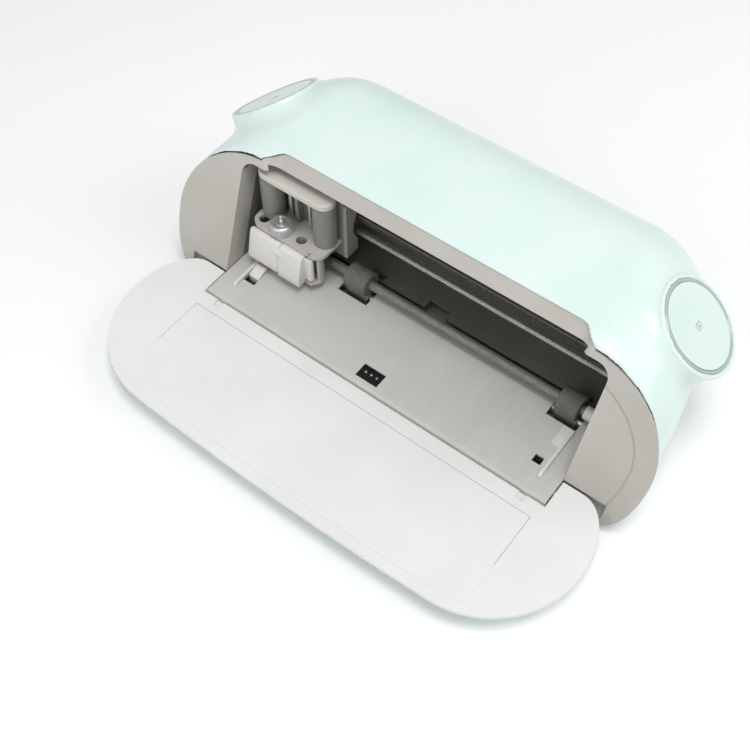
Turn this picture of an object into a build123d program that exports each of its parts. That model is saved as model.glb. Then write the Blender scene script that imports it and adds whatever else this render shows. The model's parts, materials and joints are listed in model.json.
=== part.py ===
from build123d import *
import os
from math import cos, radians, sin, tan

# A desktop vinyl cutter with its front door open, in millimetres.
# Machine axes: X to the right, Y to the rear, Z up, Z = 0 on the table.
# Y = 0 is the line where the leaning front face meets the cutting bed's level.

# ---- driving dimensions ----
BED_TOP = 28.0               # height of the cutting bed over the table
LEAN = 20.0                  # the front face leans back by this angle, degrees
BODY_BACK = 197.0            # rear end of the body
DOOR_REACH = 156.5           # how far the open door reaches forward
CHAMBER_HALF = 184.5         # half width of the front opening
FRAME_LEFT = -CHAMBER_HALF   # inner face of the left side frame
FRAME_RIGHT = 206.0          # inner face of the right side frame, hidden behind the bezel
FRAME_THICK = 3.5
SHELL_WALL = 3.0
BEZEL_THICK = 2.5
SEAM = 0.2                   # visible seam between covers
RUN_FIT = 0.05               # radial clearance of a running fit
MOVE_GAP = 0.3               # clearance between bodies that move past each other

ROW_SHIFT = (DOOR_REACH - BODY_BACK) / 2   # puts the origin under the centre of the whole footprint

# ---- feed: pinch rollers over drive rollers ----
FEED_Y = 60.0
PINCH_R = 12.0
PINCH_SHAFT_R = 4.5
PINCH_Z = BED_TOP + PINCH_R + 0.4
DRIVE_R = 7.5
DRIVE_SHAFT_R = 4.0
DRIVE_Z = BED_TOP + 0.1 - DRIVE_R
ROLLERS = {"left": (-153.0, 21.0), "centre": (-72.0, 24.0), "right": (153.0, 21.0)}   # centre X, width

# ---- carriage, parked at the left ----
TOOL_X, TOOL_Y = -145.0, 39.0
LEDGE_TOP = BED_TOP + 48.5
LEDGE_THICK = 4.0
POST_X = (-165.0, -105.7)
POST_Y = 52.8
POST_R = 11.0
CAP_TOP = BED_TOP + 103.5
CAP_THICK = 6.0
PLATE_Y0, PLATE_Y1 = 62.0, 65.5
CARRIAGE_LEFT, CARRIAGE_RIGHT = -176.5, -92.0
CLEAR_Z = BED_TOP + 27.0     # parts behind the blade stay above the pinch rollers

RAIL_Y0, RAIL_Y1 = 82.0, 86.5
RAIL_Z0, RAIL_Z1 = BED_TOP + 40.0, BED_TOP + 45.5
BELT_Z0, BELT_Z1 = BED_TOP + 57.0, BED_TOP + 63.0
PULLEY_R = 6.0
PULLEY_X = (-172.0, 195.0)
PULLEY_Y = 90.0
BELT_THICK = 1.2
BEAM_Z = BED_TOP + 66.0      # underside of the beam's top flange
BEAM_WEB_Y = PULLEY_Y + 13.0

# ---- door ----
DOOR_INNER_Z = BED_TOP - 0.8
DOOR_THICK = 12.0
DOOR_HALF = 241.0
DOOR_TAPER = 11.0            # the rim runs under by this much down to the outer face
DOOR_WIDEST_Y = -63.0
LINER_THICK = 2.5
NOTCH_HALF = CHAMBER_HALF + 0.5
NOTCH_Y = -29.5
DENT_X = (161.2, 168.2)      # small dents in the notch's front edge
HINGE_Y, HINGE_Z = -11.6, BED_TOP - 8.1
HINGE_R = 3.0
HINGE_SWEEP = 14.2           # the door's rear edge turns inside this radius
SWEEP_END = 225.0            # beyond this half width the door's rounded corner clears the bezel

# ---- shoulder buttons ----
EAR_CENTRE = (217.0, 120.8, BED_TOP + 108.9)
EAR_NORMAL = (0.59, 0.17, 0.79)
EAR_R = 43.5
RING_R = 39.4
BUTTON_R = 36.2
BUTTON_TRAVEL = 1.5

LEAN_PLANE = Plane(origin=(0, 0, BED_TOP), x_dir=(1, 0, 0),
                   z_dir=(0, -cos(radians(LEAN)), sin(radians(LEAN))))
LOW, MID, MAX = Align.MIN, Align.CENTER, Align.MAX


# ---- helpers ----
def block(x0, x1, y0, y1, z0, z1):
    """Box between two corners."""
    return Pos(x0, y0, z0) * Box(x1 - x0, y1 - y0, z1 - z0, align=(LOW, LOW, LOW))


def rod_x(x0, x1, y, z, radius):
    """Cylinder along X."""
    return Pos(x0, y, z) * Rot(0, 90, 0) * Cylinder(radius, x1 - x0, align=(MID, MID, LOW))


def rod_y(x, y0, y1, z, radius):
    """Cylinder along Y."""
    return Pos(x, y0, z) * Rot(-90, 0, 0) * Cylinder(radius, y1 - y0, align=(MID, MID, LOW))


def rod_z(x, y, z0, z1, radius):
    """Upright cylinder."""
    return Pos(x, y, z0) * Cylinder(radius, z1 - z0, align=(MID, MID, LOW))


def side_plate(points, x0, x1):
    """Polygon of (Y, Z) points with thickness from x0 to x1."""
    face = make_face(Polyline(*points, close=True))
    return extrude(Plane.YZ.offset(x0) * face, amount=x1 - x0)


def mirror_x(shape):
    return mirror(shape, about=Plane.YZ)


def lean_y(z, behind=0.0):
    """Y of the leaning front face at height z, moved back by a perpendicular distance."""
    return (z - BED_TOP) * tan(radians(LEAN)) + behind / cos(radians(LEAN))


# ---- body form ----
FRONT_FORM = dict(half=249.0, widest=40.0, top_half=162.5, top=126.5, bottom_half=222.0, bottom=-22.0)
# Y, half width, widest height, half width of the flat top, top, half width of the flat bottom
STATIONS = [
    (75.0, 239.0, 70.0, 160.0, 158.5, 212.0),
    (115.0, 230.0, 70.0, 152.0, 165.5, 202.0),
    (150.0, 220.0, 71.0, 146.0, 164.5, 192.0),
    (178.0, 206.0, 71.0, 140.0, 151.0, 178.0),
    (192.0, 192.0, 70.0, 132.0, 133.0, 165.0),
    (BODY_BACK, 180.0, 66.0, 124.0, 113.0, 155.0),
]
BODY_BOTTOM = 7.5


def round_outline(half, widest, top_half, top, bottom_half, bottom):
    """Section of the body: flat top and bottom, sides of quarter ellipses."""
    upper = (half - top_half, top - widest)
    lower = (half - bottom_half, widest - bottom)
    edges = [EllipticalCenterArc((top_half, widest), *upper, start_angle=0, arc_size=90),
             Line((top_half, top), (-top_half, top)),
             EllipticalCenterArc((-top_half, widest), *upper, start_angle=90, arc_size=90),
             EllipticalCenterArc((-bottom_half, widest), *lower, start_angle=180, arc_size=90),
             Line((-bottom_half, bottom), (bottom_half, bottom)),
             EllipticalCenterArc((bottom_half, widest), *lower, start_angle=270, arc_size=90)]
    return make_face(edges)


def body_form(inset=0.0, front=0.0):
    """Solid of the body; inset shrinks it and front moves its front face along the face's normal."""
    form = dict(FRONT_FORM)
    form["half"] -= inset
    form["top"] -= inset
    form["bottom"] += inset
    sections = [LEAN_PLANE.offset(front) * round_outline(**form)]
    for y, half, widest, top_half, top, bottom_half in STATIONS:
        back = y - inset if y == BODY_BACK else y
        plane = Plane(origin=(0, back, 0), x_dir=(1, 0, 0), z_dir=(0, -1, 0))
        outline = round_outline(half - inset, widest, top_half, top - inset, bottom_half,
                                BODY_BOTTOM + inset)
        sections.append(plane * outline)
    return loft(sections)


def ear_plane(side):
    """Plane of a shoulder button's face; its normal points out of the body."""
    x, y, z = EAR_CENTRE
    nx, ny, nz = EAR_NORMAL
    return Plane(origin=(side * x, y, z), x_dir=(0, 1, 0), z_dir=(side * nx, ny, nz))


def ear_boss(side):
    """Boss that carries a button, turned about the button's axis."""
    depth = 70.0
    waist = EAR_R - 1.5
    profile = [Line((0, 0), (EAR_R - 1.5, 0)), RadiusArc((EAR_R - 1.5, 0), (EAR_R, -1.5), 1.5),
               Spline((EAR_R, -1.5), (EAR_R - 0.6, -7), (waist, -16), tangents=[(0, -1), (0, -1)]),
               Line((waist, -16), (waist, -depth)), Line((waist, -depth), (0, -depth)), Line((0, -depth), (0, 0))]
    boss = revolve(Plane.XZ * make_face(profile), axis=Axis.Z)
    return ear_plane(side) * boss


BROW_LOW = (49.9, BED_TOP + 113.2)     # Y, Z of the opening's upper edge
BROW_HIGH = (57.9, BED_TOP + 125.4)    # Y, Z of the top cover's edge over the door
BROW_HALF = 150.0
BROW_END = 166.0
BROW_DEPTH = 8.0
BROW_RISE = 14.4             # height of the strip along its slope


def brow_plane(behind=0.0):
    """Plane of the set-back strip above the opening."""
    rise = Vector(0, BROW_HIGH[0] - BROW_LOW[0], BROW_HIGH[1] - BROW_LOW[1]).normalized()
    normal = Vector(0, -rise.Z, rise.Y)
    origin = Vector(0, BROW_LOW[0], BROW_LOW[1]) - normal * behind
    return Plane(origin=origin, x_dir=(1, 0, 0), z_dir=normal)


def brow_profile(thick, tail):
    """Plan section of the strip: flat, with an S bend to the lobes at both ends."""
    bend = [(BROW_HALF, 0), (BROW_HALF + 3.5, 0.8), (BROW_END - 4.5, BROW_DEPTH - 0.8), (BROW_END, BROW_DEPTH)]
    inner = Spline(*bend, tangents=[(1, 0), (1, 0)])
    outer = Spline(*[(x, d - thick) for x, d in bend], tangents=[(1, 0), (1, 0)])
    front = Line((BROW_END, BROW_DEPTH), (BROW_END + tail, BROW_DEPTH))
    back = Line((BROW_END, BROW_DEPTH - thick), (BROW_END + tail, BROW_DEPTH - thick))
    half = [Line((0, 0), (BROW_HALF, 0)), inner, front,
            Line((BROW_END + tail, BROW_DEPTH), (BROW_END + tail, BROW_DEPTH - thick)), back, outer,
            Line((BROW_HALF, -thick), (0, -thick)), Line((0, -thick), (0, 0))]
    return make_face(half)


def brow_strip(thick, low, high, tail):
    """Strip from low to high along the slope, measured from the opening's upper edge."""
    plane = brow_plane()
    section = Plane(origin=plane.origin + plane.y_dir * low, x_dir=(1, 0, 0), z_dir=-plane.y_dir)
    half = extrude(section * brow_profile(thick, tail), amount=-(high - low))
    return half + mirror_x(half)


def brow_outline(grow=0.0):
    """Front view of the strip as a thick slab: its upper corners run down to the lobes in an S curve."""
    top, foot = BROW_RISE + grow, BROW_END + grow
    curve = Spline((BROW_HALF - 4, top), (BROW_HALF + 7 + grow, BROW_RISE * 0.62), (foot + 0.5, 1.0),
                   tangents=[(1, 0), (0.5, -1)])
    half = [Line((0, top), (BROW_HALF - 4, top)), curve, Line((foot + 0.5, 1.0), (foot + 8, -30)),
            Line((foot + 8, -30), (0, -30)), Line((0, -30), (0, top))]
    side = extrude(brow_plane() * make_face(half), amount=25, both=True)
    return side + mirror_x(side)


def brow_space(behind, low, high):
    """Space in front of the strip, from low to high along its slope."""
    bend = [(BROW_HALF, -behind), (BROW_HALF + 3.5, 0.8 - behind),
            (BROW_END - 4.5, BROW_DEPTH - 0.8 - behind), (BROW_END, BROW_DEPTH - behind)]
    half = [Line((0, -behind), bend[0]), Spline(*bend, tangents=[(1, 0), (1, 0)]),
            Line(bend[-1], (BROW_END, 40)), Line((BROW_END, 40), (0, 40)), Line((0, 40), (0, -behind))]
    plane = brow_plane()
    section = Plane(origin=plane.origin + plane.y_dir * low, x_dir=(1, 0, 0), z_dir=-plane.y_dir)
    side = extrude(section * make_face(half), amount=-(high - low))
    return side + mirror_x(side)


def belt_loop(plane, start, start_r, end, end_r, width):
    """Closed belt around two pulleys, lying in the given plane."""
    def wrap(grow):
        circles = [Pos(*start) * Circle(start_r + grow), Pos(*end) * Circle(end_r + grow)]
        return make_hull([edge for circle in circles for edge in circle.edges()])
    return extrude(plane * (wrap(BELT_THICK) - wrap(RUN_FIT)), amount=width)


# ---- covers ----
REAR_SLOT_HALF = 174.0
REAR_SLOT_Z = (24.0, 42.0)
PORT_Z = 58.0
DC_X, USB_X = -140.0, -112.0
POCKET_DEPTH = 6.5


def top_shell():
    shell = body_form(front=-(BEZEL_THICK + SEAM)) + ear_boss(1) + ear_boss(-1)
    shell -= body_form(inset=SHELL_WALL, front=1.0)
    for side in (1, -1):
        shell -= ear_plane(side) * Pos(0, 0, -POCKET_DEPTH) * Cylinder(RING_R + 0.1, 20, align=(MID, MID, LOW))
        shell -= ear_plane(side) * Cylinder(3.0, 60)
    shell -= block(-300, 300, -50, 250, -10, 12)
    shell -= brow_space(3.2, -60, BROW_RISE + 0.4) & brow_outline(0.4)
    shell -= brow_strip(3.4, -1.0, BROW_RISE + 0.4, 0.4) & brow_outline(0.4)
    shell -= block(-REAR_SLOT_HALF, REAR_SLOT_HALF, 180, 200, *REAR_SLOT_Z)
    shell -= rod_y(DC_X, 170, 200, PORT_Z, 5.6)
    shell -= block(USB_X - 6.2, USB_X + 6.2, 170, 200, PORT_Z - 5.7, PORT_Z + 5.7)
    return max(shell.solids(), key=lambda solid: solid.volume)


def lobe_groove():
    """Fine groove that runs round the right lobe of the bezel, inside its edge."""
    def ring(inset):
        form = dict(FRONT_FORM, half=FRONT_FORM["half"] - inset, top=FRONT_FORM["top"] - inset)
        form["top_half"] -= inset / 2
        form["bottom_half"] -= inset
        return round_outline(**form)
    band = extrude(LEAN_PLANE * (ring(17.8) - ring(19.6)), amount=0.8, both=True)
    return band & block(CHAMBER_HALF - 10, 260, -100, 200, 20, 200)


MOUTH_TOP = 119.0            # upper edge of the opening beside the lobes, along the slope


def front_bezel():
    form = dict(FRONT_FORM, half=FRONT_FORM["half"] - 0.4, top=FRONT_FORM["top"] - 0.4)
    outline = LEAN_PLANE * round_outline(**form)
    inward = -LEAN_PLANE.z_dir
    plate = extrude(outline, amount=BEZEL_THICK, dir=inward)
    lobes = extrude(outline, amount=10, dir=inward) & block(-250, 250, -20, 20, 12.2, 31)
    body = plate + (lobes & body_form(inset=SHELL_WALL + 0.3, front=1.0))
    corner = Rectangle(2 * CHAMBER_HALF, 240)
    corner = fillet(corner.vertices(), 13)
    body -= extrude(LEAN_PLANE * Pos(0, MOUTH_TOP - 120, 0) * corner, amount=60, both=True)
    body -= brow_space(0.0, -30, 60)
    for side in (1, -1):
        x0, x1 = sorted((side * CHAMBER_HALF, side * SWEEP_END))
        body -= rod_x(x0, x1, HINGE_Y, HINGE_Z, HINGE_SWEEP)
    body -= lobe_groove()
    body += (brow_strip(3.0, 0.0, BROW_RISE, 0.1) + brow_strip(3.0, 0.0, 4.0, 5.0)) & brow_outline()
    jamb = [(lean_y(z, behind), z) for z, behind in ((BED_TOP, 1.0), (128, 1.0), (128, 22.0), (BED_TOP, 22.0))]
    body += side_plate(jamb, -CHAMBER_HALF - BEZEL_THICK, -CHAMBER_HALF)
    return max(body.solids(), key=lambda solid: solid.volume)


def rear_slot_trim():
    outer = block(-REAR_SLOT_HALF + SEAM, REAR_SLOT_HALF - SEAM, 186, BODY_BACK - 0.5,
                  REAR_SLOT_Z[0] + SEAM, REAR_SLOT_Z[1] - SEAM)
    z0, z1 = REAR_SLOT_Z
    return outer - block(-REAR_SLOT_HALF + 3, REAR_SLOT_HALF - 3, 150, 210, z0 + 3, z1 - 2.5)


WALL_Y = 29.0                # wall of the base under the bed


def base_pan():
    pan = body_form(inset=1.0, front=-(BEZEL_THICK + SEAM)) & block(-300, 300, -60, 250, 8.5, 11.8)
    pan += block(-184.0, 184.0, WALL_Y - 3.0, WALL_Y, 11.0, 24.9)
    for side in (1, -1):
        x0, x1 = sorted((side * 172.0, side * 184.2))
        arm = rod_x(x0, x1, HINGE_Y, HINGE_Z, 5.0) + block(x0, x1, HINGE_Y, WALL_Y, HINGE_Z - 5, HINGE_Z + 5)
        pan += arm - rod_x(x0 - 1, x1 + 1, HINGE_Y, HINGE_Z, HINGE_R)
        x0, x1 = sorted((side * CHAMBER_HALF, side * SWEEP_END))
        pan -= rod_x(x0, x1, HINGE_Y, HINGE_Z, HINGE_SWEEP)
    for x, y in SCREW_SPOTS:
        pan -= rod_z(x, y, 0, 30, 1.5)
    return pan


FOOT_SPOTS = [(-185, 25), (185, 25), (-150, 165), (150, 165)]
SCREW_SPOTS = [(-120, 30), (120, 30), (-120, 160), (120, 160)]


def feet():
    return Compound([rod_z(x, y, 0, 8.5, 12.0) for x, y in FOOT_SPOTS])


def base_screws():
    return Compound([rod_z(x, y, 6.5, 8.5, 3.0) + rod_z(x, y, 8.5, 20, 1.5) for x, y in SCREW_SPOTS])


# ---- side frames and chamber ----
BUSH_R = 7.0


def side_frame(inner, outward, top):
    """Upright plate with seats for the shaft bushings."""
    x0, x1 = sorted((inner, inner + outward * FRAME_THICK))
    front = 22.0 + SEAM
    outline = [(lean_y(30, front), 12), (lean_y(30, front), 30), (lean_y(top, front), top), (112, top),
               (112, 24), (100, 12)]
    plate = side_plate(outline, x0, x1)
    for z in (PINCH_Z, DRIVE_Z):
        plate -= rod_x(x0 - 1, x1 + 1, FEED_Y, z, BUSH_R)
    return plate - rod_x(x0 - 1, x1 + 1, *FEED_MOTOR, 4.0)


def shaft_bushings():
    bushes = []
    for z, shaft_r in ((PINCH_Z, PINCH_SHAFT_R), (DRIVE_Z, DRIVE_SHAFT_R)):
        for x0, x1 in ((FRAME_LEFT - FRAME_THICK, FRAME_LEFT), (FRAME_RIGHT, FRAME_RIGHT + FRAME_THICK)):
            ring = rod_x(x0, x1, FEED_Y, z, BUSH_R) - rod_x(x0 - 1, x1 + 1, FEED_Y, z, shaft_r + RUN_FIT)
            bushes.append(ring)
    return Compound(bushes)


BED_SIDE = 184.0
SENSOR_BOX = (-16.9, 6.3, -20.0, -5.2)
PARK_SLOT = (-165.5, -152.8, 2.0, 23.0)
HOME_SLOT = (153.0, 161.3, 0.0, 8.0)


def cutting_bed():
    profile = [(-28.6, 20.5), (-28.1, 23.4), (-26.8, 25.6), (-24.0, 27.1), (24, BED_TOP), (72, BED_TOP), (72, 25), (-19.5, 25), (-19.5, 20.5)]
    bed = side_plate(profile, -BED_SIDE, BED_SIDE)
    bed += block(BED_SIDE, FRAME_RIGHT, 34, 72, 25, BED_TOP)
    bed += block(FRAME_LEFT, -BED_SIDE, 34, 72, 25, BED_TOP)
    for x0, x1, y0, y1 in (SENSOR_BOX, PARK_SLOT, HOME_SLOT):
        bed -= block(x0, x1, y0, y1, 20.6, 40)
    for x, width in ROLLERS.values():
        half = width / 2 + 4.5
        bed -= block(x - half, x + half, FEED_Y - 14, 80, 20, 40)
    return bed


def rear_plate():
    plate = block(FRAME_LEFT, FRAME_RIGHT, 77.5, 112, 25, BED_TOP)
    plate += block(-170, 170, 112, 185.5, 25, BED_TOP)
    return plate - block(-12, 11, 77, 87.5, 20, 40)


def shaft_springs():
    """Small bent tabs that press the pinch rollers down, one behind each roller."""
    tabs = []
    for x, width in ROLLERS.values():
        x0 = x + width / 2 - 9
        leg = side_plate([(79, BED_TOP), (84, BED_TOP), (84, BED_TOP + 1.2), (80.5, BED_TOP + 1.2),
                          (77.0, BED_TOP + 13), (74.6, BED_TOP + 13), (74.6, BED_TOP + 11.8),
                          (76.1, BED_TOP + 11.8)], x0, x0 + 9)
        tabs.append(leg)
    return Compound(tabs)


def sensor_window():
    x0, x1, y0, y1 = SENSOR_BOX
    window = block(x0 + 0.2, x1 - 0.2, y0 + 0.2, y1 - 0.2, 22, 26.4)
    for x in (-11.0, -5.0, 1.0):
        window += rod_z(x, -12.0, 26.4, 27.0, 1.6)
    return window


def home_sensor():
    x0, x1, y0, y1 = HOME_SLOT
    return block(x0 + 0.2, x1 - 0.2, y0 + 0.2, y1 - 0.2, 21, 24)


def parking_block():
    """Sloped block under the parked blade clamp."""
    x0, x1, _, y1 = PARK_SLOT
    slope = [(9, 21), (9, 28.2), (20, 32.5), (y1 - 0.3, 32.5), (y1 - 0.3, 21)]
    return side_plate(slope, x0 + 1.0, x1 - 0.4)


def mat_guide(side):
    outer = sorted((side * 165.3, side * 168.3))
    strip = sorted((side * 157.0, side * 165.3))
    y0 = 24.0
    ridge = side_plate([(-10, 27.43), (-6, 31.0), (44, 31.0), (45, 28.0), (24, 28.0)], *outer)
    return ridge + block(*strip, y0, 45.5, 28.0, 28.8)


# ---- feed train ----
SHAFT_X0, SHAFT_X1 = FRAME_LEFT - FRAME_THICK, FRAME_RIGHT + FRAME_THICK
FEED_PULLEY_R = 6.6
FEED_MOTOR = (104.0, 62.0)     # Y, Z of the feed motor's axis
FEED_BELT_X = (SHAFT_X1 + 2.0, SHAFT_X1 + 7.0)


def pinch_shaft():
    return rod_x(SHAFT_X0, SHAFT_X1, FEED_Y, PINCH_Z, PINCH_SHAFT_R)


def pinch_roller(name):
    x, width = ROLLERS[name]
    tyre = rod_x(x - width / 2, x + width / 2, FEED_Y, PINCH_Z, PINCH_R)
    tyre = chamfer(tyre.edges().filter_by(GeomType.CIRCLE), 0.8)
    return tyre - rod_x(x - width, x + width, FEED_Y, PINCH_Z, PINCH_SHAFT_R)


def shaft_collar():
    """Light sleeve at the right end of the pinch shaft."""
    sleeve = rod_x(167.0, 182.0, FEED_Y, PINCH_Z, 6.2)
    return sleeve - rod_x(160, 190, FEED_Y, PINCH_Z, PINCH_SHAFT_R)


def drive_shaft():
    return rod_x(SHAFT_X0, FEED_BELT_X[1], FEED_Y, DRIVE_Z, DRIVE_SHAFT_R)


def drive_rollers():
    sleeves = []
    for x, width in ROLLERS.values():
        sleeve = rod_x(x - width / 2, x + width / 2, FEED_Y, DRIVE_Z, DRIVE_R)
        sleeves.append(sleeve - rod_x(x - width, x + width, FEED_Y, DRIVE_Z, DRIVE_SHAFT_R))
    return Compound(sleeves)


def feed_pulley():
    x0, x1 = FEED_BELT_X
    return rod_x(x0, x1, FEED_Y, DRIVE_Z, FEED_PULLEY_R) - rod_x(x0 - 1, x1 + 1, FEED_Y, DRIVE_Z, DRIVE_SHAFT_R)


def feed_motor_pulley():
    x0, x1 = FEED_BELT_X
    return rod_x(x0, x1, *FEED_MOTOR, PULLEY_R) + rod_x(SHAFT_X1 - 20, x0, *FEED_MOTOR, 2.5)


def feed_motor():
    """Motor on the inner side of the right frame, behind the rail."""
    x0, x1 = FRAME_RIGHT - 34, FRAME_RIGHT
    body = rod_x(x0, x1, *FEED_MOTOR, 9.0)
    return body - rod_x(SHAFT_X1 - 21, x1 + 1, *FEED_MOTOR, 2.5 + RUN_FIT)


def feed_belt():
    x0, x1 = FEED_BELT_X
    return belt_loop(Plane.YZ.offset(x0 + 0.2), (FEED_Y, DRIVE_Z), FEED_PULLEY_R, FEED_MOTOR, PULLEY_R,
                     x1 - x0 - 0.4)


# ---- cross rail ----
def guide_rail():
    rail = block(FRAME_LEFT, FRAME_RIGHT, RAIL_Y0, RAIL_Y1, RAIL_Z0, RAIL_Z1)
    middle = (RAIL_Z0 + RAIL_Z1) / 2
    groove = side_plate([(RAIL_Y0 - 1, middle - 1.2), (RAIL_Y0 + 1, middle), (RAIL_Y0 - 1, middle + 1.2)],
                        FRAME_LEFT - 1, FRAME_RIGHT + 1)
    return rail - groove


def rail_beam():
    """Bent sheet beam: a web behind the belt and a flange over it."""
    beam = block(FRAME_LEFT, FRAME_RIGHT, BEAM_WEB_Y, BEAM_WEB_Y + 2, BED_TOP + 16, BED_TOP + 98)
    beam -= block(FRAME_RIGHT - 35, FRAME_RIGHT + 1, BEAM_WEB_Y - 1, BEAM_WEB_Y + 3, 0, FEED_MOTOR[1] + 10)
    beam += block(FRAME_LEFT, FRAME_RIGHT, 80.0, BEAM_WEB_Y + 2, BEAM_Z, BEAM_Z + 2)
    beam -= rod_z(PULLEY_X[0], PULLEY_Y, BEAM_Z - 5, BEAM_Z + 5, 4.0)
    beam -= rod_z(PULLEY_X[1], PULLEY_Y, BEAM_Z - 5, BEAM_Z + 5, 2.0)
    return beam


def cross_motor():
    x = PULLEY_X[0]
    body = rod_z(x, PULLEY_Y, BEAM_Z + 2, BEAM_Z + 30, 12.0)
    return body - rod_z(x, PULLEY_Y, BEAM_Z, BEAM_Z + 22, 2.5 + RUN_FIT)


def motor_pulley():
    x = PULLEY_X[0]
    wheel = rod_z(x, PULLEY_Y, BELT_Z0, BELT_Z1, PULLEY_R)
    return wheel + rod_z(x, PULLEY_Y, BELT_Z1, BEAM_Z + 21, 2.5)


def idler_pulley():
    x = PULLEY_X[1]
    wheel = rod_z(x, PULLEY_Y, BELT_Z0, BELT_Z1, PULLEY_R)
    return wheel - rod_z(x, PULLEY_Y, BELT_Z0 - 1, BELT_Z1 + 1, 2.0 + RUN_FIT)


def idler_pin():
    x = PULLEY_X[1]
    return rod_z(x, PULLEY_Y, BELT_Z0 - 2.0, BEAM_Z + 3, 2.0) + rod_z(x, PULLEY_Y, BELT_Z0 - 3.5, BELT_Z0 - 0.5, 4.0)


def cross_belt():
    return belt_loop(Plane.XY.offset(BELT_Z0 + 0.2), (PULLEY_X[0], PULLEY_Y), PULLEY_R,
                     (PULLEY_X[1], PULLEY_Y), PULLEY_R, BELT_Z1 - BELT_Z0 - 0.4)


# ---- carriage ----
ROD_X, ROD_Y, ROD_R = (-148.0, -126.0), 57.0, 2.0


def stadium_z(x0, x1, y, z0, z1, radius):
    """Upright stadium between two end centres."""
    return rod_z(x0, y, z0, z1, radius) + rod_z(x1, y, z0, z1, radius) + block(x0, x1, y - radius, y + radius, z0, z1)


def carriage_frame():
    under_cap = CAP_TOP - CAP_THICK
    frame = block(CARRIAGE_LEFT, CARRIAGE_RIGHT, PLATE_Y0, PLATE_Y1, CLEAR_Z, under_cap)
    for x in POST_X:
        frame += rod_z(x, POST_Y, LEDGE_TOP + MOVE_GAP, under_cap - 1.5, POST_R)
        frame += rod_z(x, POST_Y, under_cap - 1.5, under_cap, POST_R - 3)
    frame += block(-141.0, -137.5, 54.0, PLATE_Y0, LEDGE_TOP + 2.0, under_cap - 4)
    return frame


def carriage_cap():
    cap = stadium_z(*POST_X, POST_Y, CAP_TOP - CAP_THICK, CAP_TOP, POST_R)
    cap = fillet(cap.edges().group_by(Axis.Z)[-1], 1.5)
    return cap + block(POST_X[0] + 2, POST_X[1] - 2, POST_Y, PLATE_Y1, CAP_TOP - CAP_THICK, CAP_TOP - 2)


def carriage_bracket():
    """Side plate with a round cut-out that clears the belt."""
    bracket = block(CARRIAGE_RIGHT, CARRIAGE_RIGHT + 3, PLATE_Y0, 86, CLEAR_Z, BED_TOP + 93)
    bracket -= rod_x(-200, 0, 98, BED_TOP + 58, 26.0)
    return bracket - block(-200, 0, 78, 90, CLEAR_Z - 1, BED_TOP + 60)


def carriage_slider():
    """Bearing block that wraps round the rail, with the belt's anchor on top."""
    x0, x1 = -168.0, -100.0
    z0, z1 = RAIL_Z0 - 5, RAIL_Z1 + 5
    slider = block(x0, x1, PLATE_Y1, 93, z0, z1)
    gap = 0.4
    slider -= block(x0 - 1, x1 + 1, RAIL_Y0 - gap, RAIL_Y1 + gap, RAIL_Z0 - gap, RAIL_Z1 + gap)
    anchor_y = PULLEY_Y - PULLEY_R - BELT_THICK - 0.5
    return slider + block(-150, -130, PLATE_Y1, anchor_y, z1, BELT_Z1)


def lift_rods():
    return Compound([rod_z(x, ROD_Y, LEDGE_TOP - 14, CAP_TOP - CAP_THICK, ROD_R) for x in ROD_X])


def lift_motor():
    """Small motor that drops the tool head, fixed behind the back plate."""
    return rod_y(-110.0, PLATE_Y1, 78.0, BED_TOP + 84, 9.0)


WELL_SPAN = 21.6
CHANNEL_X, CHANNEL_Y = -108.5, 38.0
PIVOT_X, PIVOT_Y = -107.0, 31.0
PIVOT_R = 1.5
BLADE_R = 8.0
CLAMP_Z = BED_TOP + 12.0


def tool_head():
    """Ledge that carries the blade clamp, with its saddle and the open channel beside it."""
    under = LEDGE_TOP - LEDGE_THICK
    head = stadium_z(POST_X[0], POST_X[1], 41.0, under, LEDGE_TOP, 11.0)
    head += block(POST_X[0] - 11, POST_X[1] + 11, 41.0, 61.7, under, LEDGE_TOP)
    head += block(TOOL_X - 14, TOOL_X + 14, 36.0, 46.5, CLAMP_Z, under)
    head += block(TOOL_X - 14, TOOL_X + 22, 40.0, 61.7, CLEAR_Z + 4, under)
    for x in (TOOL_X - WELL_SPAN, TOOL_X + WELL_SPAN):
        head -= rod_z(x, 40.0, under - 20, LEDGE_TOP + 1, 5.0)
    head += rod_z(CHANNEL_X, CHANNEL_Y, BED_TOP + 9.5, under, 9.3)
    head -= rod_z(CHANNEL_X, CHANNEL_Y, CLAMP_Z, under, 7.0)
    head -= block(CHANNEL_X - 12, CHANNEL_X + 12, 20, 34.6, CLAMP_Z, under)
    head += block(PIVOT_X - 3.5, PIVOT_X + 3.5, 27.8, 40.0, BED_TOP + 9.5, CLAMP_Z)
    head -= rod_z(TOOL_X, TOOL_Y, 0, LEDGE_TOP + 1, BLADE_R + RUN_FIT)
    head -= rod_z(PIVOT_X, PIVOT_Y, 0, LEDGE_TOP + 1, PIVOT_R)
    for x in ROD_X:
        head -= rod_z(x, ROD_Y, 0, LEDGE_TOP + 1, ROD_R + RUN_FIT)
    return head


def pivot_pin():
    return rod_z(PIVOT_X, PIVOT_Y, BED_TOP + 9.5, LEDGE_TOP, PIVOT_R)


LEVER_TOP = LEDGE_TOP - LEDGE_THICK - MOVE_GAP
LEVER_SPLIT = -137.4


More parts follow.
